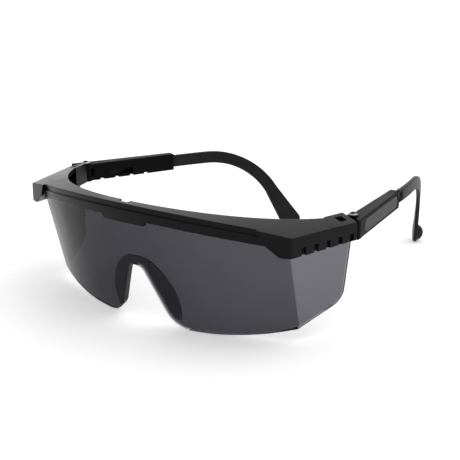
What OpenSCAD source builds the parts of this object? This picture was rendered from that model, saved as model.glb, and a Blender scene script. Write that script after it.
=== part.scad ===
// Wrap-around safety glasses: a brow frame, a one-piece smoke lens with side shields,
// folding temples and ear tips that slide for length.
// Lengths are millimetres. X runs to the wearer's left, Y back to the ears, Z up.
// The glasses rest on the lens's lower edge and on the ends of the ear hooks.

/* [Stance] */
// Height of the side arms above the table
arm_height = 49.1; // [47:0.1:53]

/* [Lens] */
// Radius of the lens front at its lower edge, seen from above
lens_r = 118; // [112:1:130]
// Widening of the lens front towards the top, degrees
lens_cone = 10.5; // [4:0.5:12]
// Wall of the lens front
lens_t = 2.2; // [1.6:0.1:2.6]
// Wall of the side shields
shield_t = 1.4; // [1.2:0.1:2]
// Lean of the lens, top forward, degrees
lens_tilt = 14; // [11:0.5:16]
// Reach of the lens's middle in front of the brow corners
lens_reach = 15.4; // [14.4:0.1:16.4]
// Half-width of the lens front, out to the crease
crease_x = 64.2; // [63.4:0.1:64.6]
// Outward flare of the side shields, degrees
shield_flare = 19.5; // [17:0.5:19.5]
// Outward lean of the side shields towards the top, degrees
shield_lean = 1.2; // [0:0.1:1.3]
// Reach of the side shields past the arms
shield_past = 1; // [0.4:0.1:1.8]
// Rise of the shields' lower edge towards the rear, degrees
shield_rise = 20; // [18:0.5:24]
// Rounding of the shields' lower rear corner
shield_round = 7; // [4:0.5:10]
// Depth of the lens down its face
lens_drop = 47.5; // [44:0.5:47.5]
// Radius of each half of the lower edge
drop_r = 195; // [180:5:230]
// Distance of the lowest point of each half from the middle
drop_x = 34; // [31:0.5:37]
// Width of the latch tab that clips over the brow's rear edge
latch_w = 4.2; // [3:0.1:6]
// Depth of the notch in the brow's rear edge that takes it
latch_in = 1.7; // [1.2:0.1:2]

/* [Nose] */
// Radius at the top of the nose arch
nose_r = 4.6; // [3.8:0.1:5.6]
// Depth of the arch's centre down the lens face
nose_depth = 23.4; // [21:0.2:26]
// Slope of each side of the nose arch, degrees
nose_slope = 22; // [19:0.5:26]
// Rounding where the arch meets the lower edge
nose_round = 12; // [8:0.5:14]
// Half of the nose flange's width at its widest
flange_half = 17.3; // [16:0.1:19]
// Radius of each side of the nose flange
flange_r = 26; // [23:0.5:30]
// Radius of the nose flange over the arch
flange_top_r = 18; // [17:0.5:22]
// Rise of the nose flange above the arch
flange_rise = 3.2; // [2:0.1:4]
// How far below the arch's centre the nose flange is widest
flange_low = 14.6; // [12:0.2:17]
// How far the nose flange runs below the arch's centre
flange_len = 20.2; // [17:0.2:22]
// Thickness that the nose flange adds behind the lens
flange_t = 1.1; // [0.8:0.1:1.6]
// Step back from the arch to the edge of the nose flange
flange_set = 0.15; // [0.1:0.05:0.5]

/* [Brow frame] */
// Rise of the brow's middle above the arms
brow_rise = 7.5; // [6.5:0.1:8.5]
// Radius of the brow's arch, seen from the front
brow_r = 305; // [290:5:330]
// Rise of the shelf towards the rear, degrees
brow_pitch = 3; // [2:0.25:4]
// Thickness of the shelf
shelf_t = 2.4; // [2:0.1:2.8]
// Height of the front bar
bar_h = 6.6; // [5.6:0.1:7.4]
// Thickness of the front bar
bar_t = 1.6; // [1.3:0.1:2]
// Height of the bar's upper band
band_h = 2.5; // [1.8:0.1:3]
// Set-back of the upper band
band_back = 0.7; // [0.3:0.05:0.9]
// Width of the drop at the middle of the bar
tab_w = 21; // [16:0.5:28]
// Depth of that drop
tab_drop = 1.9; // [1:0.1:3]
// Radius of the shelf's rear edge
shelf_r = 77; // [75.5:0.5:78.5]
// Depth of the shelf at its middle, behind the front of the bar
shelf_mid = 4.4; // [3.8:0.1:4.8]

/* [Corner blocks and arms] */
// Distance of each front corner outside the lens's crease
corner_out = 4.6; // [4.3:0.1:5.4]
// Width of a corner block across the front
block_w = 15; // [14:0.1:16]
// Turn of a corner block's front face, degrees
block_turn = 24; // [22:0.5:28]
// Depth of a corner block below the arm's top
block_drop = 8.5; // [8.4:0.1:9.2]
// Width of a corner block's flat foot
foot_w = 3.6; // [3:0.1:4.4]
// Slope of the block's inner edge above the foot, degrees
block_slope = 41; // [38:1:45]
// Width of the steep part of that edge beside the bar
steep_w = 4.5; // [3.6:0.1:5.4]
// Outward flare of the arms, degrees
arm_flare = 15.2; // [14.2:0.2:16]
// Length of an arm
arm_len = 35.5; // [34.5:0.1:36.5]
// Wall of an arm
arm_wall = 2; // [1.6:0.1:2]
// Width of the hinge box at the arm's end
box_w = 8.6; // [8.3:0.1:9.2]
// Inner wall of the hinge box
box_wall = 1.2; // [1:0.1:1.4]
// Length of the hinge box
box_len = 10.6; // [10:0.1:10.8]
// Depth of the arm's rear end
arm_drop = 8.3; // [7.9:0.1:8.4]
// Number of slots in an arm's lower edge
slot_count = 5; // [3:1:5]
// Distance between those slots
slot_pitch = 6.5; // [5.5:0.1:6.6]
// Width of a slot
slot_w = 2; // [1.4:0.1:2.4]
// Height of a slot
slot_h = 3.4; // [2.6:0.1:4]
// Depth of a slot into the arm's wall
slot_deep = 1.4; // [1:0.1:1.6]
// Side of the square latch window in the arm's top
window_w = 3.4; // [2.8:0.1:3.8]
// Distance of the window's middle from the arm's end
window_back = 5; // [4.6:0.1:5.6]

/* [Hinge] */
// Distance of the hinge pin from the arm's outer face
hinge_inset = 6.15; // [6:0.05:6.25]
// Distance of the hinge pin behind the arm's end
hinge_back = 3.65; // [3.6:0.05:4]
// Diameter of the hinge pin
pin_d = 2.2; // [1.8:0.1:2.4]
// Diameter of the pin's domed head
head_d = 4.4; // [3.8:0.1:4.6]
// Height of the dome
head_h = 1.6; // [1.2:0.1:1.8]
// Radius of the knuckle on the hinge block
knuckle_r = 2.6; // [2.3:0.05:2.65]
// Radius of the sleeve's ears above and below it
ear_r = 3; // [2.9:0.05:3.1]
// Height of that knuckle
knuckle_h = 3; // [2.6:0.1:3.2]
// Width of the neck that carries it
neck_w = 3.2; // [2.6:0.1:3.4]
// Height of the hinge block's foot above the arm's lower edge
block_lift = 0.8; // [0.4:0.1:1.2]
// Depth of the block's tooth below the arm's top
tooth_sunk = 1.1; // [0.8:0.1:1.4]

/* [Temple sleeves] */
// Inward turn of the open temples, degrees
temple_turn = 7; // [5:0.5:9]
// Downward slope of the temples, degrees
temple_slope = 1.1; // [0:0.1:3]
// How far the left temple is folded in, degrees
left_fold = 0; // [0:1:30]
// How far the right temple is folded in, degrees
right_fold = 15; // [0:1:30]
// Length of a sleeve behind the hinge pin
sleeve_len = 48; // [46:0.5:50]
// Height of a sleeve
sleeve_h = 8.2; // [8:0.1:8.6]
// Depth of the sleeve's middle line below the arm's top, at the pin
sleeve_z = 4.5; // [4.3:0.1:4.7]
// Outer face of the sleeve beside the pin, from the pin's axis
sleeve_out = 4.8; // [4.6:0.1:5.2]
// Outer face at the rear end
sleeve_rear_out = 3.2; // [3.1:0.1:3.8]
// Inner face of the sleeve, from the pin's axis
sleeve_in = 1.6; // [1.4:0.1:2]
// Number of detent notches
notch_count = 4; // [2:1:4]
// Distance between detent steps
notch_pitch = 8; // [7:0.5:8]
// Width of a notch at its mouth
notch_w = 2.4; // [2:0.1:3]
// Height of a notch
notch_h = 1.5; // [1.2:0.1:1.8]
// Start of the slot in the sleeve's inner wall, behind the pin
relief_at = 12.8; // [11:0.1:18]
// Length of that slot
relief_len = 11.5; // [8:0.5:16]
// Height of that slot
relief_h = 2.2; // [1.2:0.1:2.6]
// Depth of that slot's middle below the sleeve's middle line
relief_low = 1.1; // [0:0.1:1.4]
// Start of the inlay panel's recess, behind the pin
recess_start = 1.3; // [1:0.1:6]
// Length of the inlay panel
inlay_len = 43.5; // [30:0.5:44]
// Free length of the recess behind the panel
recess_spare = 1; // [0.4:0.1:1.4]
// Height of the inlay panel
inlay_h = 5.7; // [4.6:0.1:6.4]
// Corner radius of the inlay
inlay_corner = 2.7; // [1.6:0.1:2.8]
// Thickness of the inlay panel
inlay_t = 0.6; // [0.4:0.05:0.6]

/* [Ear tips] */
// Thickness of the slider and hook
tip_t = 2; // [1.6:0.1:2]
// Height of the slider
tip_h = 6; // [5.2:0.1:6.2]
// Width of the two marks on the slider
mark_w = 1; // [0.6:0.1:1.4]
// Depth of the marks
mark_deep = 0.33; // [0.2:0.01:0.5]
// Height of the marks
mark_h = 4.2; // [3:0.1:5]
// Distance from the pin to the bend, with the tip pushed right in
bend_at = 68.7; // [66:0.1:76]
// Radius of the bend
bend_r = 42; // [36:1:46]
// Turn of the bend, degrees
bend_turn = 58.7; // [52:0.1:62]
// Width across the hook's end
hook_w = 9.6; // [8:0.1:11]
// Rise of the bulb on the outside of the hook's end
bulb_rise = 3.2; // [2.2:0.1:3.6]
// Width of the bulb, as a share of the hook's end
bulb_share = 0.88; // [0.74:0.01:0.9]
// Radius of the inward curve, seen from above
curl_r = 180; // [160:5:240]
// How far the left tip is drawn out
left_reach = 8; // [0:0.5:16]
// How far the right tip is drawn out
right_reach = 0; // [0:0.5:16]

/* [Fits] */
// Gap between pieces that are snapped together
snap_gap = 0.15; // [0.1:0.05:0.2]
// Gap between a slider and its sleeve
slide_gap = 0.3; // [0.2:0.05:0.3]
// Gap round the pin in the turning knuckles
turn_gap = 0.06; // [0.03:0.01:0.1]
// Gap round the pin in the hinge block
press_gap = 0.01; // [0.005:0.005:0.02]
// Gap between faces that turn past each other
swing_gap = 0.35; // [0.3:0.05:0.5]
// Gap between the lens and the hinge box
box_gap = 1.2; // [0.8:0.1:1.6]
// Room between the neck and the sleeve as the temple folds
turn_room = 0.4; // [0.3:0.05:0.5]

/* [Hidden] */
$fn = 64;
wide_fn = 360;
// Length that passes right through the glasses
through = 400;
// Length by which a cut passes beyond a face, or a root runs into what carries it
spare = 1;

black = [0.10, 0.10, 0.11];
dark_grey = [0.20, 0.20, 0.21];
mid_grey = [0.36, 0.36, 0.37];
smoke = [0.36, 0.36, 0.40, 0.55];
steel = [0.70, 0.70, 0.72];

corner_x = crease_x + corner_out;

// Lens, in the plane that leans with it
crease_r = lens_r / cos(lens_cone);
crease_y = crease_r - lens_reach - sqrt(pow(crease_r, 2) - pow(crease_x, 2));
crease_drop = lens_drop - drop_r + sqrt(pow(drop_r, 2) - pow(crease_x - drop_x, 2));
bar_out = snap_gap + bar_t;

// Lower corner of the crease and of the shield's rear edge, seen from the side
fold_y = crease_y * cos(lens_tilt) + crease_drop * sin(lens_tilt);
fold_z = crease_y * sin(lens_tilt) - crease_drop * cos(lens_tilt);
shield_rear = arm_len * cos(arm_flare) + shield_past;
rear_z = fold_z + (shield_rear - fold_y) * tan(shield_rise);
// The shield is cut away round the hinge box
shield_step = arm_len - box_len - box_gap;
shield_top = -arm_drop - box_gap;

// Nose arch, seen along the leaning lens
side_x = nose_r * cos(nose_slope);
side_z = nose_r * sin(nose_slope) - nose_depth;
arch_low = 60;
// The arcs cross the lines they meet by this much, so that the corners between them are clear
ease = 0.02;
low_x = side_x + (arch_low + side_z) * tan(nose_slope);
// Centre of the rounding between arch and lower edge
off_x = side_x + nose_round * cos(nose_slope) - drop_x;
off_z = side_z + nose_round * sin(nose_slope) - drop_r + lens_drop;
along = off_x * sin(nose_slope) - off_z * cos(nose_slope);
run = sqrt(pow(along, 2) - pow(off_x, 2) - pow(off_z, 2) + pow(drop_r - nose_round, 2)) - along;
turn_x = drop_x + off_x + run * sin(nose_slope);
turn_z = drop_r - lens_drop + off_z - run * cos(nose_slope);

// Hinge and temple
hinge_x = corner_x - hinge_inset * cos(arm_flare) + (arm_len + hinge_back) * sin(arm_flare);
hinge_y = hinge_inset * sin(arm_flare) + (arm_len + hinge_back) * cos(arm_flare);
block_x = -box_w + box_wall + snap_gap;
block_thick = box_w - box_wall - arm_wall - 2 * snap_gap;
block_end = arm_len - arm_wall - snap_gap;
block_len = box_len - arm_wall - 2 * snap_gap;
block_low = arm_drop - block_lift;
window_y = arm_len - window_back;
window_x = block_x + block_thick / 2;
tooth_w = window_w - 2 * snap_gap;
// The neck is a little lower than the knuckle, so that their faces stay apart
neck_h = knuckle_h - snap_gap;
neck_len = hinge_back + arm_wall + snap_gap + spare;
head_seat = -sleeve_z + sleeve_h / 2 - snap_gap;
cavity_r = knuckle_r + turn_room;
cavity_h = knuckle_h + 2 * slide_gap;
sleeve_front = hinge_back - swing_gap;
face_turn = atan((sleeve_out - sleeve_rear_out) / sleeve_len);
slide_mid = (sleeve_rear_out - sleeve_in - inlay_t / 4) / 2;
channel_start = 2 * cavity_r;

// Ear tip: the hook is as long as it takes to reach the table when drawn out
slider_start = channel_start + spare;
hook_r = hook_w / 2;
longest_reach = max(left_reach, right_reach);
bend_out = bend_at + bend_r * sin(bend_turn);
bend_down = bend_r * (1 - cos(bend_turn));
hook_fall = arm_height - sleeve_z - (bend_out + longest_reach) * sin(temple_slope)
    - bend_down * cos(temple_slope) - hook_r;
hook_len = hook_fall / sin(bend_turn + temple_slope);
hook_y = bend_out + hook_len * cos(bend_turn);
hook_z = -bend_down - hook_len * sin(bend_turn);
curl_at = sleeve_len + spare;
hook_turn = asin((hook_y - curl_at) / curl_r);
hook_x = slide_mid - curl_r + curl_r * cos(hook_turn);
bulb_edge = bulb_share * hook_r;
bulb_r = (pow(bulb_edge, 2) + pow(bulb_rise, 2)) / (2 * bulb_rise);

// The origin stands halfway between the brow's front and the longer tip's end
front_y = (-(lens_reach + bar_out) / cos(lens_tilt) - (brow_rise - band_h) * tan(lens_tilt))
    / (1 + tan(brow_pitch) * tan(lens_tilt));
tip_end = (hook_y + longest_reach) * cos(temple_slope) + hook_z * sin(temple_slope) + hook_r;
rear_y = hinge_y + tip_end * cos(temple_turn) + hook_x * sin(temple_turn);
mid_y = (front_y + rear_y) / 2;
shelf_y = front_y + shelf_mid + shelf_r;

// Frames of reference
module placed() {
    translate([0, -mid_y, arm_height]) children();
}

module tilted() {
    rotate([lens_tilt, 0, 0]) children();
}

module mirrored() {
    mirror([1, 0, 0]) children();
}

// x out from the arm's outer face, y back along the arm
module arm_frame() {
    translate([corner_x, 0, 0]) rotate([0, 0, -arm_flare]) children();
}

// The same directions, at the hinge pin
module hinge_frame() {
    translate([hinge_x, hinge_y, 0]) rotate([0, 0, -arm_flare]) children();
}

// x out, y back along the sloping temple, at the hinge pin
module temple_frame() {
    translate([hinge_x, hinge_y, -sleeve_z])
        rotate([0, 0, temple_turn])
            rotate([-temple_slope, 0, 0])
                children();
}

// Folds a temple in about its pin
module folded(angle) {
    translate([hinge_x, hinge_y, 0])
        rotate([0, 0, angle])
            translate([-hinge_x, -hinge_y, 0])
                children();
}

// On the sleeve's outer face
module face_frame() {
    temple_frame() translate([sleeve_out, 0, 0]) rotate([0, 0, face_turn]) children();
}

// Draws a y-z outline and gives it a thickness along x
module side_slab(thick) {
    rotate([90, 0, 90]) linear_extrude(thick, center = true) children();
}

// Draws an x-z outline and gives it a thickness along y
module front_slab(thick) {
    rotate([90, 0, 0]) linear_extrude(thick, center = true) children();
}

// Everything below the brow's arched top, lowered by drop
module under_brow(drop) {
    translate([0, 0, brow_rise - drop])
        rotate([brow_pitch, 0, 0])
            translate([0, 0, -brow_r])
                rotate([90, 0, 0])
                    cylinder(r = brow_r, h = through, center = true, $fn = wide_fn);
}

// The round front of the lens as a drum that widens upwards, enlarged by grow
module lens_drum(grow) {
    half = through / 4;
    drum_r = lens_r + grow / cos(lens_cone);
    step = half * tan(lens_cone);
    tilted()
        translate([0, lens_r * cos(lens_cone) - lens_reach, -lens_r * sin(lens_cone) - crease_drop])
            rotate([-lens_cone, 0, 0])
                cylinder(r1 = drum_r - step, r2 = drum_r + step, h = 2 * half, center = true, $fn = wide_fn);
}

// Everything inside the left shield's outer face, moved out by grow
module shield_side(grow) {
    tilted()
        translate([crease_x, crease_y, -crease_drop])
            rotate([0, shield_lean, 0])
                rotate([0, 0, -shield_flare])
                    translate([grow - through, -through / 2, -through / 2])
                        cube(through);
}

// The space enclosed by the lens front and both shields
module lens_mass(front_grow, side_grow) {
    intersection() {
        lens_drum(front_grow);
        shield_side(side_grow);
        mirrored() shield_side(side_grow);
    }
}

// Lower edge of the lens: one arc for each half
module lower_edge() {
    module half() {
        intersection() {
            translate([drop_x, drop_r - lens_drop]) circle(r = drop_r, $fn = wide_fn);
            translate([0, -drop_r]) square([drop_r, 2 * drop_r]);
        }
    }
    half();
    mirror([1, 0]) half();
}

// The opening over the nose, wider by grow all round
module nose_arch(grow) {
    grow_x = grow * cos(nose_slope);
    grow_z = grow * sin(nose_slope);
    foot_x = low_x + grow / cos(nose_slope);
    round_r = nose_round - grow;
    module rounding() {
        reach = drop_r / (drop_r - nose_round);
        edge_x = drop_x + (turn_x - drop_x) * reach;
        edge_z = drop_r - lens_drop + (turn_z - drop_r + lens_drop) * reach;
        wall_x = turn_x - round_r * cos(nose_slope);
        wall_z = turn_z - round_r * sin(nose_slope);
        difference() {
            polygon([
                [wall_x, wall_z], [wall_x, -arch_low], [edge_x, -arch_low],
                [edge_x, edge_z], [turn_x, turn_z]
            ]);
            translate([turn_x, turn_z]) circle(r = round_r + ease);
        }
    }
    translate([0, -nose_depth]) circle(r = nose_r + grow + ease);
    polygon([
        [0, -nose_depth], [side_x + grow_x, side_z + grow_z], [foot_x, -arch_low],
        [-foot_x, -arch_low], [-side_x - grow_x, side_z + grow_z]
    ]);
    rounding();
    mirror([1, 0]) rounding();
}

// The lens seen from the side: rounded lower rear corner, cut away round the hinge box
module shield_outline() {
    turn_y = shield_rear - shield_round;
    centre_z = rear_z - shield_round * tan(shield_rise) + shield_round / cos(shield_rise);
    low_y = turn_y + shield_round * sin(shield_rise);
    low_z = centre_z - shield_round * cos(shield_rise);
    difference() {
        union() {
            polygon([
                [-arch_low, arch_low], [-arch_low, -2 * arch_low], [fold_y, -2 * arch_low],
                [fold_y, fold_z], [low_y, low_z], [turn_y, centre_z],
                [shield_rear, centre_z], [shield_rear, arch_low]
            ]);
            translate([turn_y, centre_z]) circle(r = shield_round);
        }
        translate([shield_step, shield_top]) square(through);
    }
}

// A wide arc on each side and one over the arch, cut off square below
module flange_outline() {
    top_z = nose_r + flange_rise - nose_depth - flange_top_r;
    module arc() {
        translate([flange_half - flange_r, -nose_depth - flange_low]) circle(r = flange_r, $fn = wide_fn);
    }
    intersection() {
        arc();
        mirror([1, 0]) arc();
        union() {
            translate([0, top_z]) circle(r = flange_top_r, $fn = wide_fn);
            translate([-flange_r, top_z - 2 * flange_r]) square(2 * flange_r);
        }
        translate([-flange_r, -nose_depth - flange_len]) square(2 * flange_r);
    }
}

// A raised rim on the rear face of the lens, which rests on the nose
module nose_flange() {
    intersection() {
        difference() {
            lens_drum(-lens_t / 2);
            lens_drum(-lens_t - flange_t);
        }
        tilted() front_slab(2 * lens_reach) difference() {
            flange_outline();
            nose_arch(flange_set);
        }
    }
}

module lens_shell() {
    difference() {
        lens_mass(0, 0);
        lens_mass(-lens_t, -shield_t);
    }
}

module latch_notch(gap) {
    width = latch_w + 2 * gap;
    translate([-width / 2, shelf_y - shelf_r - latch_in - gap, 0])
        cube([width, shelf_r, arch_low]);
}

module lens() {
    color(smoke) placed() {
        intersection() {
            lens_shell();
            under_brow(shelf_t + snap_gap);
            tilted() front_slab(through) difference() {
                lower_edge();
                nose_arch(0);
            }
            side_slab(through) shield_outline();
        }
        nose_flange();
        intersection() {
            lens_shell();
            latch_notch(0);
            under_brow(shelf_t / 3);
        }
    }
}

module corner_block() {
    inner = corner_x - block_w;
    // Half as far again as the block, so that its inner edge is cut by the outline below
    face_len = 1.5 * block_w / cos(block_turn);
    foot_x = corner_x - foot_w;
    // Between foot and slope a short edge at half the slope
    ease = foot_w / 3;
    slope_x = inner + steep_w;
    slope_z = ease * tan(block_slope / 2) - block_drop + (foot_x - ease - slope_x) * tan(block_slope);
    steep_turn = (block_slope + 90) / 2;
    difference() {
        intersection() {
            arm_frame() linear_extrude(through, center = true) polygon([
                [0, 0], [0, block_w], [-2 * block_w, block_w],
                [-face_len * cos(block_turn + arm_flare), -face_len * sin(block_turn + arm_flare)]
            ]);
            front_slab(through) polygon([
                [inner, brow_rise], [inner, slope_z + steep_w * tan(steep_turn)], [slope_x, slope_z],
                [foot_x - ease, ease * tan(block_slope / 2) - block_drop], [foot_x, -block_drop],
                [corner_x + block_w, -block_drop], [corner_x + block_w, brow_rise]
            ]);
            under_brow(0);
        }
        brow_hollow();
    }
}

module brow_hollow() {
    intersection() {
        lens_mass(snap_gap, snap_gap);
        under_brow(shelf_t);
    }
}

// Shelf and front bar between the corner blocks
module brow_bar() {
    low = brow_rise - bar_h + front_y * tan(brow_pitch);
    difference() {
        intersection() {
            lens_drum(bar_out);
            under_brow(0);
            translate([-crease_x, -through / 2, -through / 2])
                cube([2 * crease_x, through / 2 + arm_len, through]);
        }
        brow_hollow();
        under_brow(bar_h);
        difference() {
            lens_drum(bar_out + spare);
            lens_drum(bar_out - band_back);
            under_brow(band_h);
        }
    }
    intersection() {
        difference() {
            lens_drum(bar_out);
            lens_drum(snap_gap);
        }
        translate([0, front_y, 0]) front_slab(arm_len) polygon([
            [-tab_w / 2 - tab_drop, low + tab_drop], [-tab_w / 2, low - tab_drop],
            [tab_w / 2, low - tab_drop], [tab_w / 2 + tab_drop, low + tab_drop]
        ]);
    }
}

module arm_plate() {
    difference() {
        intersection() {
            arm_frame() translate([-shelf_r / 3, block_w / 4, -through / 2])
                cube([shelf_r / 3, arm_len - block_w / 4, through]);
            under_brow(0);
        }
        under_brow(shelf_t);
    }
}

// Outer wall of the arm and the box that takes the hinge block
module arm_walls() {
    from = block_w / 3;
    difference() {
        intersection() {
            arm_frame() intersection() {
                linear_extrude(through, center = true) {
                    translate([-arm_wall, 0]) square([arm_wall, through]);
                    translate([-box_w, arm_len - box_len]) square([box_w, through]);
                }
                side_slab(2 * box_w) polygon([
                    [from, -block_drop + (block_drop - arm_drop) * from / arm_len],
                    [arm_len, -arm_drop], [arm_len, arch_low], [from, arch_low]
                ]);
            }
            under_brow(0);
        }
        intersection() {
            arm_frame() translate([-box_w + box_wall, arm_len - box_len - spare, -through / 2])
                cube([box_w - box_wall - arm_wall, box_len - arm_wall + spare, through]);
            under_brow(shelf_t);
        }
    }
}

module arm_openings() {
    arm_frame() {
        for (i = [0 : slot_count - 1])
            translate([-slot_deep, slot_pitch * (i + 1) - slot_w / 2, -block_drop - slot_h / 3])
                cube([slot_deep + spare, slot_w, slot_h + slot_h / 3]);
        translate([window_x - window_w / 2, window_y - window_w / 2, -2 * shelf_t])
            cube([window_w, window_w, through]);
        translate([-hinge_inset, arm_len, -sleeve_z])
            cube([neck_w + 2 * snap_gap, 3 * arm_wall, knuckle_h + 2 * snap_gap], center = true);
    }
}

module brow_frame() {
    color(black) placed() difference() {
        union() {
            difference() {
                union() {
                    brow_bar();
                    corner_block();
                    mirrored() corner_block();
                    arm_plate();
                    mirrored() arm_plate();
                }
                translate([0, shelf_y, 0])
                    cylinder(r = shelf_r, h = through, center = true, $fn = wide_fn);
            }
            arm_walls();
            mirrored() arm_walls();
        }
        latch_notch(snap_gap);
        arm_openings();
        mirrored() arm_openings();
    }
}

module hinge_block() {
    difference() {
        union() {
            intersection() {
                arm_frame() translate([block_x, block_end - block_len, -block_low])
                    cube([block_thick, block_len, through]);
                under_brow(shelf_t + snap_gap);
            }
            intersection() {
                arm_frame() translate([window_x - tooth_w / 2, window_y - tooth_w / 2, -sleeve_z])
                    cube([tooth_w, tooth_w, through]);
                under_brow(tooth_sunk);
            }
            hinge_frame() translate([-neck_w / 2, -neck_len, -sleeve_z - neck_h / 2])
                cube([neck_w, neck_len, neck_h]);
            translate([hinge_x, hinge_y, -sleeve_z]) cylinder(r = knuckle_r, h = knuckle_h, center = true);
        }
        translate([hinge_x, hinge_y, -sleeve_z])
            cylinder(d = pin_d + 2 * press_gap, h = 2 * knuckle_h, center = true);
    }
}

module hinge_block_left() {
    color(black) placed() hinge_block();
}

module hinge_block_right() {
    color(black) placed() mirrored() hinge_block();
}

module hinge_pin() {
    dome_r = (pow(head_d / 2, 2) + pow(head_h, 2)) / (2 * head_h);
    foot = -sleeve_z - sleeve_h / 2 + slide_gap;
    base = head_seat + slide_gap;
    translate([hinge_x, hinge_y, 0]) {
        translate([0, 0, foot]) cylinder(d = pin_d, h = base - foot + head_h / 2);
        intersection() {
            translate([0, 0, base + head_h - dome_r]) sphere(r = dome_r);
            translate([0, 0, base]) cylinder(d = 2 * head_d, h = head_d);
        }
    }
}

module hinge_pin_left() {
    color(steel) placed() hinge_pin();
}

module hinge_pin_right() {
    color(steel) placed() mirrored() hinge_pin();
}

// Rounded oblong for the inlay panel and its recess
module oblong(length, height, corner) {
    translate([corner, -height / 2]) square([length - 2 * corner, height]);
    translate([0, corner - height / 2]) square([length, height - 2 * corner]);
    for (y = [corner, length - corner], z = [corner - height / 2, height / 2 - corner])
        translate([y, z]) circle(r = corner);
}

// A tapering body with a round ear above and below the knuckle
module sleeve_body() {
    ahead = 2 * sleeve_front;
    slant = (sleeve_out - sleeve_rear_out) / sleeve_len;
    intersection() {
        union() {
            intersection() {
                temple_frame() linear_extrude(2 * sleeve_h, center = true) polygon([
                    [sleeve_out + slant * ahead, -ahead], [sleeve_rear_out, sleeve_len],
                    [-sleeve_in, sleeve_len], [-sleeve_in, -ahead]
                ]);
                // The front end lies flush with the arm's outer face
                hinge_frame() translate([hinge_inset - through, -sleeve_front, -arch_low]) cube(through);
            }
            translate([hinge_x, hinge_y, -sleeve_z]) cylinder(r = ear_r, h = 2 * sleeve_h, center = true);
        }
        temple_frame() cube([through, through, sleeve_h], center = true);
    }
}

module temple_sleeve() {
    channel_w = tip_t + 2 * slide_gap;
    channel_h = tip_h + 2 * slide_gap;
    neck_x = neck_w / 2 + slide_gap;
    neck_y = cavity_r + slide_gap;
    difference() {
        sleeve_body();
        // Room for the hinge block's knuckle and for its neck as the temple folds
        translate([hinge_x, hinge_y, -sleeve_z]) {
            cylinder(r = cavity_r, h = cavity_h, center = true);
            rotate([0, 0, temple_turn])
                translate([neck_x - arch_low, neck_y - arch_low, -cavity_h / 2])
                    cube([arch_low, arch_low, cavity_h]);
            cylinder(d = pin_d + 2 * turn_gap, h = 3 * sleeve_h, center = true);
            translate([0, 0, head_seat + sleeve_z]) cylinder(d = head_d + 2 * slide_gap, h = sleeve_h);
        }
        temple_frame() {
            translate([slide_mid - channel_w / 2, channel_start, -channel_h / 2])
                cube([channel_w, through, channel_h]);
            for (i = [0 : notch_count - 1])
                translate([slide_mid - sleeve_h / 2, (i + 1) * notch_pitch, -sleeve_h / 2])
                    side_slab(sleeve_h) polygon([
                        [-notch_w / 2, -spare], [notch_w / 2, -spare],
                        [notch_w / 3, notch_h], [-notch_w / 3, notch_h]
                    ]);
            translate([slide_mid - sleeve_h, relief_at, -relief_low - relief_h / 2])
                cube([sleeve_h, relief_len, relief_h]);
        }
        face_frame() translate([0, recess_start, 0]) side_slab(2 * inlay_t + 2 * snap_gap)
            oblong(inlay_len + recess_spare + snap_gap, inlay_h + 2 * snap_gap, inlay_corner + snap_gap);
    }
}

module temple_sleeve_left() {
    color(black) placed() folded(left_fold) temple_sleeve();
}

module temple_sleeve_right() {
    color(black) placed() mirrored() folded(right_fold) temple_sleeve();
}

module temple_inlay() {
    face_frame() translate([-inlay_t / 2, recess_start + snap_gap, 0])
        side_slab(inlay_t) oblong(inlay_len, inlay_h, inlay_corner);
}

module temple_inlay_left() {
    color(mid_grey) placed() folded(left_fold) temple_inlay();
}

module temple_inlay_right() {
    color(mid_grey) placed() mirrored() folded(right_fold) temple_inlay();
}

// The ear tip seen from the side: slider, bend and widening hook
module tip_outline() {
    half = tip_h / 2;
    // The hook starts a little inside the bend, so that the two run into each other
    lap = 0.05;
    translate([slider_start, -half]) square([bend_at - slider_start, tip_h]);
    translate([bend_at, -bend_r]) intersection() {
        difference() {
            circle(r = bend_r + half, $fn = wide_fn);
            circle(r = bend_r - half, $fn = wide_fn);
        }
        polygon([
            [0, 0], [0, 3 * bend_r],
            [2 * bend_r, 2 * bend_r], [3 * bend_r * sin(bend_turn), 3 * bend_r * cos(bend_turn)]
        ]);
    }
    translate([bend_out, -bend_down]) rotate(-bend_turn) {
        polygon([[-spare, half - lap], [-spare, lap - half], [hook_len, -hook_r], [hook_len, hook_r]]);
        translate([hook_len, 0]) circle(r = hook_r);
    }
}

// The ear tip seen from above: straight, then curving in behind the head
module tip_plan() {
    translate([slide_mid - tip_t / 2, 0]) square([tip_t, curl_at]);
    translate([slide_mid - curl_r, curl_at]) intersection() {
        difference() {
            circle(r = curl_r + tip_t / 2, $fn = wide_fn);
            circle(r = curl_r - tip_t / 2, $fn = wide_fn);
        }
        square(2 * curl_r);
    }
}

// Bulb on the outer face of the hook's end
module hook_bulb() {
    rotate([0, 90, 0]) intersection() {
        translate([0, 0, tip_t / 2 + bulb_rise - bulb_r]) sphere(r = bulb_r);
        translate([0, 0, tip_t / 4]) cylinder(r = hook_w, h = hook_w);
    }
}

module temple_tip(reach) {
    temple_frame() translate([0, reach, 0]) {
        difference() {
            intersection() {
                side_slab(through) tip_outline();
                linear_extrude(through, center = true) tip_plan();
            }
            for (i = [1, 2])
                translate([slide_mid + tip_t / 2, sleeve_len - notch_pitch + 2 * i * mark_w, 0])
                    cube([2 * mark_deep, mark_w, mark_h], center = true);
        }
        translate([hook_x, hook_y, hook_z]) rotate([0, 0, hook_turn]) hook_bulb();
    }
}

module temple_tip_left() {
    color(dark_grey) placed() folded(left_fold) temple_tip(left_reach);
}

module temple_tip_right() {
    color(dark_grey) placed() mirrored() folded(right_fold) temple_tip(right_reach);
}

brow_frame();
lens();
hinge_block_left();
hinge_block_right();
hinge_pin_left();
hinge_pin_right();
temple_sleeve_left();
temple_sleeve_right();
temple_inlay_left();
temple_inlay_right();
temple_tip_left();
temple_tip_right();
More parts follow.
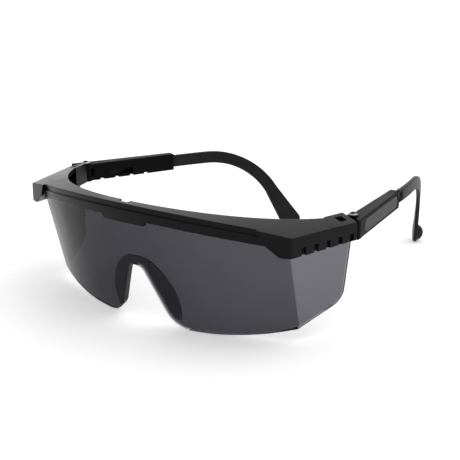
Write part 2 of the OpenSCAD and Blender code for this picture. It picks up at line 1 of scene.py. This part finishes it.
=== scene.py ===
import math

import bmesh
import bpy
from mathutils import Matrix, Vector


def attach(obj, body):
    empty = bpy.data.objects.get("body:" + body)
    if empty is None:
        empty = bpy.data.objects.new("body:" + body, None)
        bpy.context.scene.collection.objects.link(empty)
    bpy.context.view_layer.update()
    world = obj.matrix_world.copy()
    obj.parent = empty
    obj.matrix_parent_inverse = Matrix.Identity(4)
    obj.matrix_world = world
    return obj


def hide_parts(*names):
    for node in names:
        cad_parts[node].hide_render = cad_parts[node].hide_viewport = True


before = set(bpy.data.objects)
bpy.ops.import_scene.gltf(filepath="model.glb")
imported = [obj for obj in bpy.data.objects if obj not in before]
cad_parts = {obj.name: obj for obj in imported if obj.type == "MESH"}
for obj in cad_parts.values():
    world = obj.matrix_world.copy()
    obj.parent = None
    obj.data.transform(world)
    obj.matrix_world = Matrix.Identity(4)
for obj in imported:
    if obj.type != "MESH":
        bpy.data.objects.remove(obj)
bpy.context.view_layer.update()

# Brow frame: one black nylon moulding with the shelf, the front bar in two bands, the corner blocks
# and both side arms. It comes from a two-part mould, so its edges are a little round and its faces
# keep the fine grain of the mould. Everything else hangs on it.
MM = 0.001
brow_edge = 0.32 * MM
brow_weld = 0.3 * MM
brow_steps = 3
brow_black = (0.0035, 0.0035, 0.0037)
brow_shine = 0.105
brow_roughness = (0.16, 0.26)
brow_grain = 0.5 * MM
brow_grain_depth = 0.2
flat_turn = math.radians(0.4)
crisp_turn = math.radians(24)
smooth_turn = math.radians(38)
round_profile = 0.5


def moulded_copy(node, name, weld, edge, steps, long=0, soft=0):
    """Takes a solid of the frame, joins its flat faces and rounds its edges as a mould does.

    Straight edges from the length long upwards get the larger rounding soft.
    """
    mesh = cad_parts[node].data.copy()
    mesh.materials.clear()
    form = bmesh.new()
    form.from_mesh(mesh)
    bmesh.ops.remove_doubles(form, verts=form.verts, dist=weld)
    bmesh.ops.dissolve_limit(form, angle_limit=flat_turn, verts=form.verts, edges=form.edges)
    for radius, least, cuts in ((soft, long, 2 * steps), (edge, 0, steps)):
        crisp = [e for e in form.edges if e.is_manifold and e.calc_length() >= least
                 and e.calc_face_angle(0) > crisp_turn]
        if radius:
            bmesh.ops.bevel(form, geom=crisp, offset=radius, segments=cuts, profile=round_profile,
                            affect="EDGES", clamp_overlap=False)
    form.to_mesh(mesh)
    form.free()
    mesh.name = name
    piece = bpy.data.objects.new(name, mesh)
    bpy.context.scene.collection.objects.link(piece)
    mesh.shade_smooth()
    mesh.set_sharp_from_angle(angle=smooth_turn)
    even = piece.modifiers.new("even_shading", "WEIGHTED_NORMAL")
    even.keep_sharp = True
    return piece


cloud_scale = 90
cloud_detail = 3
cloud_range = (0.3, 0.7)
cloud_shades = (0.8, 1.25)
grain_detail = 2
grain_height = 0.05 * MM


def moulded_plastic(name, colour, shine, roughness_range, grain, depth):
    """Moulded plastic: close shades in soft clouds, uneven gloss and the mould's fine grain."""
    material = bpy.data.materials.new(name)
    material.use_nodes = True
    nodes = material.node_tree.nodes
    link = material.node_tree.links.new
    skin = nodes["Principled BSDF"]
    skin.inputs["Specular IOR Level"].default_value = shine
    place = nodes.new("ShaderNodeTexCoord")
    clouds = nodes.new("ShaderNodeTexNoise")
    clouds.inputs["Scale"].default_value = cloud_scale
    clouds.inputs["Detail"].default_value = cloud_detail
    link(place.outputs["Object"], clouds.inputs["Vector"])
    shade = nodes.new("ShaderNodeValToRGB")
    for stop, position, share in zip(shade.color_ramp.elements, cloud_range, cloud_shades):
        stop.position = position
        stop.color = [c * share for c in colour] + [1]
    link(clouds.outputs["Fac"], shade.inputs["Fac"])
    link(shade.outputs["Color"], skin.inputs["Base Color"])
    roughness = nodes.new("ShaderNodeMapRange")
    roughness.inputs["From Min"].default_value = cloud_range[0]
    roughness.inputs["From Max"].default_value = cloud_range[1]
    roughness.inputs["To Min"].default_value = roughness_range[0]
    roughness.inputs["To Max"].default_value = roughness_range[1]
    link(clouds.outputs["Fac"], roughness.inputs["Value"])
    link(roughness.outputs["Result"], skin.inputs["Roughness"])
    sparks = nodes.new("ShaderNodeTexNoise")
    sparks.inputs["Scale"].default_value = 1 / grain
    sparks.inputs["Detail"].default_value = grain_detail
    link(place.outputs["Object"], sparks.inputs["Vector"])
    bump = nodes.new("ShaderNodeBump")
    bump.inputs["Strength"].default_value = depth
    bump.inputs["Distance"].default_value = grain_height
    link(sparks.outputs["Fac"], bump.inputs["Height"])
    link(bump.outputs["Normal"], skin.inputs["Normal"])
    return material


frame_black = moulded_plastic("frame_black", brow_black, brow_shine, brow_roughness,
                              brow_grain, brow_grain_depth)
brow = moulded_copy("brow_frame", "brow_frame_moulding", brow_weld, brow_edge, brow_steps)
brow.data.materials.append(frame_black)
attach(brow, "front")
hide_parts("brow_frame")

# Lens: one moulding of smoke polycarbonate, polished on both sides, with the side shields and the
# nose flange in one piece. It snaps up under the brow frame. The shields are thinner than the front
# and look lighter. Along the lower and rear edge the outer half carries painted shade: an opaque
# near-black colour stands in for the dark look of light passing through the thick smoke edge.
lens_edge = 0.18 * MM
lens_weld = 0.06 * MM
lens_steps = 3
smoke_density = 1900
smoke_colour = (0.447, 0.441, 0.479, 1)
polycarbonate_ior = 1.18
nose_half_width = 18 * MM
shield_start = 58 * MM
# Painted shade: the outer half of the lower and rear edge is drawn opaque and near black.
rim_slope = 0.5
rim_clear = 0.42
rim_fade = 0.1
rim_colour = (0.015, 0.015, 0.017, 1)
flow_scale = 40
haze_range = (0, 0.03)


def smoke_polycarbonate(name):
    """Smoke plastic that darkens with its thickness, with an uneven polish and painted shade along
    its lower and rear edge.
    """
    material = bpy.data.materials.new(name)
    material.use_nodes = True
    nodes = material.node_tree.nodes
    link = material.node_tree.links.new
    skin = nodes["Principled BSDF"]
    skin.inputs["IOR"].default_value = polycarbonate_ior
    rim_share = nodes.new("ShaderNodeAttribute")
    rim_share.attribute_name = "rim"
    clear = nodes.new("ShaderNodeMapRange")
    clear.inputs["From Min"].default_value = rim_clear
    clear.inputs["From Max"].default_value = rim_clear + rim_fade
    clear.inputs["To Min"].default_value = 1
    clear.inputs["To Max"].default_value = 0
    link(rim_share.outputs["Fac"], clear.inputs["Value"])
    link(clear.outputs["Result"], skin.inputs["Transmission Weight"])
    rim_shade_tint = nodes.new("ShaderNodeValToRGB")
    rim_shade_tint.color_ramp.elements[0].color = rim_colour
    rim_shade_tint.color_ramp.elements[1].color = (1, 1, 1, 1)
    link(clear.outputs["Result"], rim_shade_tint.inputs["Fac"])
    link(rim_shade_tint.outputs["Color"], skin.inputs["Base Color"])
    place = nodes.new("ShaderNodeTexCoord")
    flow = nodes.new("ShaderNodeTexNoise")
    flow.inputs["Scale"].default_value = flow_scale
    link(place.outputs["Object"], flow.inputs["Vector"])
    haze = nodes.new("ShaderNodeMapRange")
    haze.inputs["To Min"].default_value = haze_range[0]
    haze.inputs["To Max"].default_value = haze_range[1]
    link(flow.outputs["Fac"], haze.inputs["Value"])
    link(haze.outputs["Result"], skin.inputs["Roughness"])
    smoke = nodes.new("ShaderNodeVolumeAbsorption")
    smoke.inputs["Color"].default_value = smoke_colour
    smoke.inputs["Density"].default_value = smoke_density
    link(smoke.outputs["Volume"], nodes["Material Output"].inputs["Volume"])
    return material


lens = moulded_copy("lens", "lens_moulding", lens_weld, lens_edge, lens_steps)
lens.data.materials.append(smoke_polycarbonate("lens_smoke"))
# The mask marks the outer half of the lower and rear edge for the painted shade.
rim = lens.data.attributes.new("rim", "FLOAT", "CORNER")
for face in lens.data.polygons:
    aside = abs(face.center.x)
    on_shield = aside > shield_start
    below = face.normal.z < -rim_slope and aside > nose_half_width
    behind = face.normal.y > rim_slope and on_shield
    for corner in face.loop_indices:
        vertex = lens.data.vertices[lens.data.loops[corner].vertex_index]
        forward = 0 if on_shield else vertex.co.y
        outside = vertex.normal.x * vertex.co.x + vertex.normal.y * forward > 0
        rim.data[corner].value = 1 if (below or behind) and outside else 0
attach(lens, "front")
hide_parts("lens")

# Hinge blocks: small black mouldings, one in the box at the end of each arm. A tooth on top snaps
# into the square window in the arm's top, and the knuckle at the back takes the hinge pin.
block_edge = 0.15 * MM
block_weld = 0.02 * MM
block_steps = 2
block_black = (0.002, 0.002, 0.002)
block_shine = 0.05
block_roughness = (0.35, 0.45)
block_grain = 0.4 * MM
block_grain_depth = 0.3
hinge_black = moulded_plastic("hinge_black", block_black, block_shine, block_roughness,
                              block_grain, block_grain_depth)
for side in ("left", "right"):
    block = moulded_copy("hinge_block_" + side, "hinge_block_moulding_" + side, block_weld,
                         block_edge, block_steps)
    block.data.materials.append(hinge_black)
    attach(block, "front")
    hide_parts("hinge_block_" + side)

# Hinge pins: turned steel pins with a domed head, pressed down through the knuckles of sleeve and
# block. They are dark steel with fine turning marks, and a pale band round the crown is a painted
# highlight.
pin_edge = 0.1 * MM
pin_weld = 0.02 * MM
pin_steps = 2
# Painted highlight: the steel colour of the pale band round the crown; the rest is dark steel.
pin_highlight_colour = (0.34, 0.34, 0.33)
pin_black = (0.004, 0.004, 0.004)
pin_roughness = (0.18, 0.32)
pin_axis = (0.5, 0.5, 0)
without_height = (1, 1, 0)
mark_pitch = 0.12 * MM
mark_shades = (0.8, 1.2)
highlight_inner_share = 0.32
highlight_outer_share = 0.42
highlight_fade = 0.03


def turned_steel(name, highlight_colour, black):
    """Dark steel with a painted highlight round the crown, and fine marks along the pin in its
    colour and its gloss.
    """
    material = bpy.data.materials.new(name)
    material.use_nodes = True
    nodes = material.node_tree.nodes
    link = material.node_tree.links.new
    skin = nodes["Principled BSDF"]
    skin.inputs["Metallic"].default_value = 1
    place = nodes.new("ShaderNodeTexCoord")
    marks = nodes.new("ShaderNodeTexNoise")
    marks.noise_dimensions = "1D"
    marks.inputs["Scale"].default_value = 1 / mark_pitch
    height = nodes.new("ShaderNodeSeparateXYZ")
    link(place.outputs["Object"], height.inputs["Vector"])
    link(height.outputs["Z"], marks.inputs["W"])
    shade = nodes.new("ShaderNodeValToRGB")
    for stop, share in zip(shade.color_ramp.elements, mark_shades):
        stop.color = [c * share for c in highlight_colour] + [1]
    link(marks.outputs["Fac"], shade.inputs["Fac"])
    from_axis = nodes.new("ShaderNodeVectorMath")
    from_axis.operation = "DISTANCE"
    from_axis.inputs[1].default_value = pin_axis
    level = nodes.new("ShaderNodeVectorMath")
    level.operation = "MULTIPLY"
    level.inputs[1].default_value = without_height
    link(place.outputs["Generated"], level.inputs[0])
    link(level.outputs["Vector"], from_axis.inputs[0])
    highlight_ring = nodes.new("ShaderNodeValToRGB")
    highlight_ring.color_ramp.elements[0].position = highlight_inner_share
    highlight_ring.color_ramp.elements[0].color = (0, 0, 0, 1)
    highlight_ring.color_ramp.elements[1].position = highlight_inner_share + highlight_fade
    highlight_ring.color_ramp.elements[1].color = (1, 1, 1, 1)
    highlight_ring.color_ramp.elements.new(highlight_outer_share).color = (1, 1, 1, 1)
    highlight_ring.color_ramp.elements.new(highlight_outer_share + highlight_fade).color = (0, 0, 0, 1)
    link(from_axis.outputs["Value"], highlight_ring.inputs["Fac"])
    highlight_mix = nodes.new("ShaderNodeMix")
    highlight_mix.data_type = "RGBA"
    highlight_mix.inputs["A"].default_value = list(black) + [1]
    link(highlight_ring.outputs["Color"], highlight_mix.inputs["Factor"])
    link(shade.outputs["Color"], highlight_mix.inputs["B"])
    link(highlight_mix.outputs["Result"], skin.inputs["Base Color"])
    roughness = nodes.new("ShaderNodeMapRange")
    roughness.inputs["To Min"].default_value = pin_roughness[0]
    roughness.inputs["To Max"].default_value = pin_roughness[1]
    link(marks.outputs["Fac"], roughness.inputs["Value"])
    link(roughness.outputs["Result"], skin.inputs["Roughness"])
    return material


pin_steel = turned_steel("pin_steel", pin_highlight_colour, pin_black)
for side in ("left", "right"):
    pin = moulded_copy("hinge_pin_" + side, "hinge_pin_turned_" + side, pin_weld,
                       pin_edge, pin_steps)
    pin.data.materials.append(pin_steel)
    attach(pin, "front")
    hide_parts("hinge_pin_" + side)

# Temple sleeves: hollow black mouldings that fold about the pins. Each has a shallow recess outside
# for the inlay, detent notches below and a slot inside.
sleeve_edge = 0.3 * MM
sleeve_long = 30 * MM
sleeve_soft = 0.8 * MM
sleeve_weld = 0.1 * MM
sleeve_steps = 3
sleeve_colour = (0.006, 0.006, 0.0062)
sleeve_shine = 0.03
sleeve_roughness = (0.40, 0.50)
sleeve_grain = 0.5 * MM
sleeve_grain_depth = 0.35
sleeve_black = moulded_plastic("sleeve_black", sleeve_colour, sleeve_shine, sleeve_roughness,
                               sleeve_grain, sleeve_grain_depth)
for side in ("left", "right"):
    sleeve = moulded_copy("temple_sleeve_" + side, "temple_sleeve_moulding_" + side, sleeve_weld,
                          sleeve_edge, sleeve_steps, sleeve_long, sleeve_soft)
    sleeve.data.materials.append(sleeve_black)
    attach(sleeve, side + "_temple")
    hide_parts("temple_sleeve_" + side)

# Temple inlays: thin panels of grey plastic with round corners, moulded apart and pressed into the
# recess of each sleeve, where their faces end flush.
inlay_edge = 0.15 * MM
inlay_weld = 0.02 * MM
inlay_steps = 2
inlay_colour = (0.045, 0.046, 0.049)
inlay_shine = 0.15
inlay_roughness = (0.45, 0.58)
inlay_grain = 0.3 * MM
inlay_grain_depth = 0.5
inlay_grey = moulded_plastic("inlay_grey", inlay_colour, inlay_shine, inlay_roughness,
                             inlay_grain, inlay_grain_depth)
for side in ("left", "right"):
    inlay = moulded_copy("temple_inlay_" + side, "temple_inlay_panel_" + side, inlay_weld,
                         inlay_edge, inlay_steps)
    inlay.data.materials.append(inlay_grey)
    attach(inlay, side + "_temple")
    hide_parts("temple_inlay_" + side)

# Ear tips: flat sliders, moulded in flexible black nylon. They run in the sleeves, bend down behind
# the ear and end in a thicker rounded hook.
tip_edge = 0.5 * MM
tip_weld = 0.1 * MM
tip_steps = 3
tip_colour = (0.017, 0.017, 0.0175)
tip_shine = 0.06
tip_roughness = (0.34, 0.46)
tip_grain = 0.5 * MM
tip_grain_depth = 0.3
tip_black = moulded_plastic("tip_black", tip_colour, tip_shine, tip_roughness,
                            tip_grain, tip_grain_depth)
for side in ("left", "right"):
    tip = moulded_copy("temple_tip_" + side, "temple_tip_moulding_" + side, tip_weld,
                       tip_edge, tip_steps)
    tip.data.materials.append(tip_black)
    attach(tip, side + "_tip")
    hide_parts("temple_tip_" + side)

# Table and studio: a wide white table in a white room, one broad lamp overhead and a weaker one low
# behind the glasses.
table_size = 6
table_white = (0.86, 0.86, 0.86, 1)
table_roughness = 0.9
table_glow = 0.29
room_light = 0.85
room_seen = 1.0
overhead_place = (0.35, 0.25, 0.9)
overhead_aim = (0, 0, 0)
overhead_power = 2
rear_place = (-0.52, 0.9, 0.38)
rear_aim = (0, 0, 0.05)
rear_power = 1.15
lamp_size = 0.7
half = table_size / 2
table_corners = [(-half, -half, 0), (half, -half, 0), (half, half, 0), (-half, half, 0)]
table_mesh = bpy.data.meshes.new("table")
table_mesh.from_pydata(table_corners, [], [(0, 1, 2, 3)])
table = bpy.data.objects.new("table", table_mesh)
bpy.context.scene.collection.objects.link(table)


def seen_directly(tree):
    """1 for rays that see the room itself, straight, mirrored or through glass, and 0 for light."""
    path = tree.nodes.new("ShaderNodeLightPath")
    first = tree.nodes.new("ShaderNodeMath")
    first.operation = "MAXIMUM"
    tree.links.new(path.outputs["Is Camera Ray"], first.inputs[0])
    tree.links.new(path.outputs["Is Glossy Ray"], first.inputs[1])
    either = tree.nodes.new("ShaderNodeMath")
    either.operation = "MAXIMUM"
    tree.links.new(first.outputs["Value"], either.inputs[0])
    tree.links.new(path.outputs["Is Transmission Ray"], either.inputs[1])
    return either.outputs["Value"]


white_table = bpy.data.materials.new("white_table")
white_table.use_nodes = True
tree = white_table.node_tree
top = tree.nodes["Principled BSDF"]
top.inputs["Base Color"].default_value = table_white
top.inputs["Roughness"].default_value = table_roughness
top.inputs["Specular IOR Level"].default_value = 0
glow = tree.nodes.new("ShaderNodeMath")
glow.operation = "MULTIPLY"
glow.inputs[1].default_value = table_glow
tree.links.new(seen_directly(tree), glow.inputs[0])
top.inputs["Emission Color"].default_value = (1, 1, 1, 1)
tree.links.new(glow.outputs["Value"], top.inputs["Emission Strength"])
table.data.materials.append(white_table)

room = bpy.data.worlds.new("white_room")
bpy.context.scene.world = room
room.use_nodes = True
tree = room.node_tree
air = tree.nodes["Background"]
air.inputs["Color"].default_value = (1, 1, 1, 1)
strength = tree.nodes.new("ShaderNodeMapRange")
strength.inputs["To Min"].default_value = room_light
strength.inputs["To Max"].default_value = room_seen
tree.links.new(seen_directly(tree), strength.inputs["Value"])
tree.links.new(strength.outputs["Result"], air.inputs["Strength"])


def soft_lamp(name, place, aim, size, power):
    """A square soft box at place, turned towards aim."""
    lamp = bpy.data.lights.new(name, "AREA")
    lamp.size = size
    lamp.energy = power
    stand = bpy.data.objects.new(name, lamp)
    stand.location = place
    stand.rotation_euler = (Vector(aim) - Vector(place)).to_track_quat("-Z", "Y").to_euler()
    bpy.context.scene.collection.objects.link(stand)


soft_lamp("overhead_lamp", overhead_place, overhead_aim, lamp_size, overhead_power)
soft_lamp("rear_lamp", rear_place, rear_aim, lamp_size, rear_power)

# Camera: at the photograph's angle, a little above the brow and to the wearer's left. Its place and
# its length in pixels were fitted to the photograph.
picture = 460
focal_pixels = 975
sensor = 36
camera_place = (0.2495, -0.3668, 0.1642)
back = Vector((0.5510, -0.7753, 0.3090))
right = Vector((0.8151, 0.5793, 0))
up = back.cross(right)
camera_optics = bpy.data.cameras.new("camera")
camera_optics.sensor_width = sensor
camera_optics.lens = focal_pixels / picture * sensor
camera = bpy.data.objects.new("camera", camera_optics)
turned = Matrix((right, up, back)).transposed().to_4x4()
camera.matrix_world = Matrix.Translation(camera_place) @ turned
bpy.context.scene.collection.objects.link(camera)
bpy.context.scene.camera = camera
bpy.context.scene.view_settings.view_transform = "Standard"

bpy.context.view_layer.update()
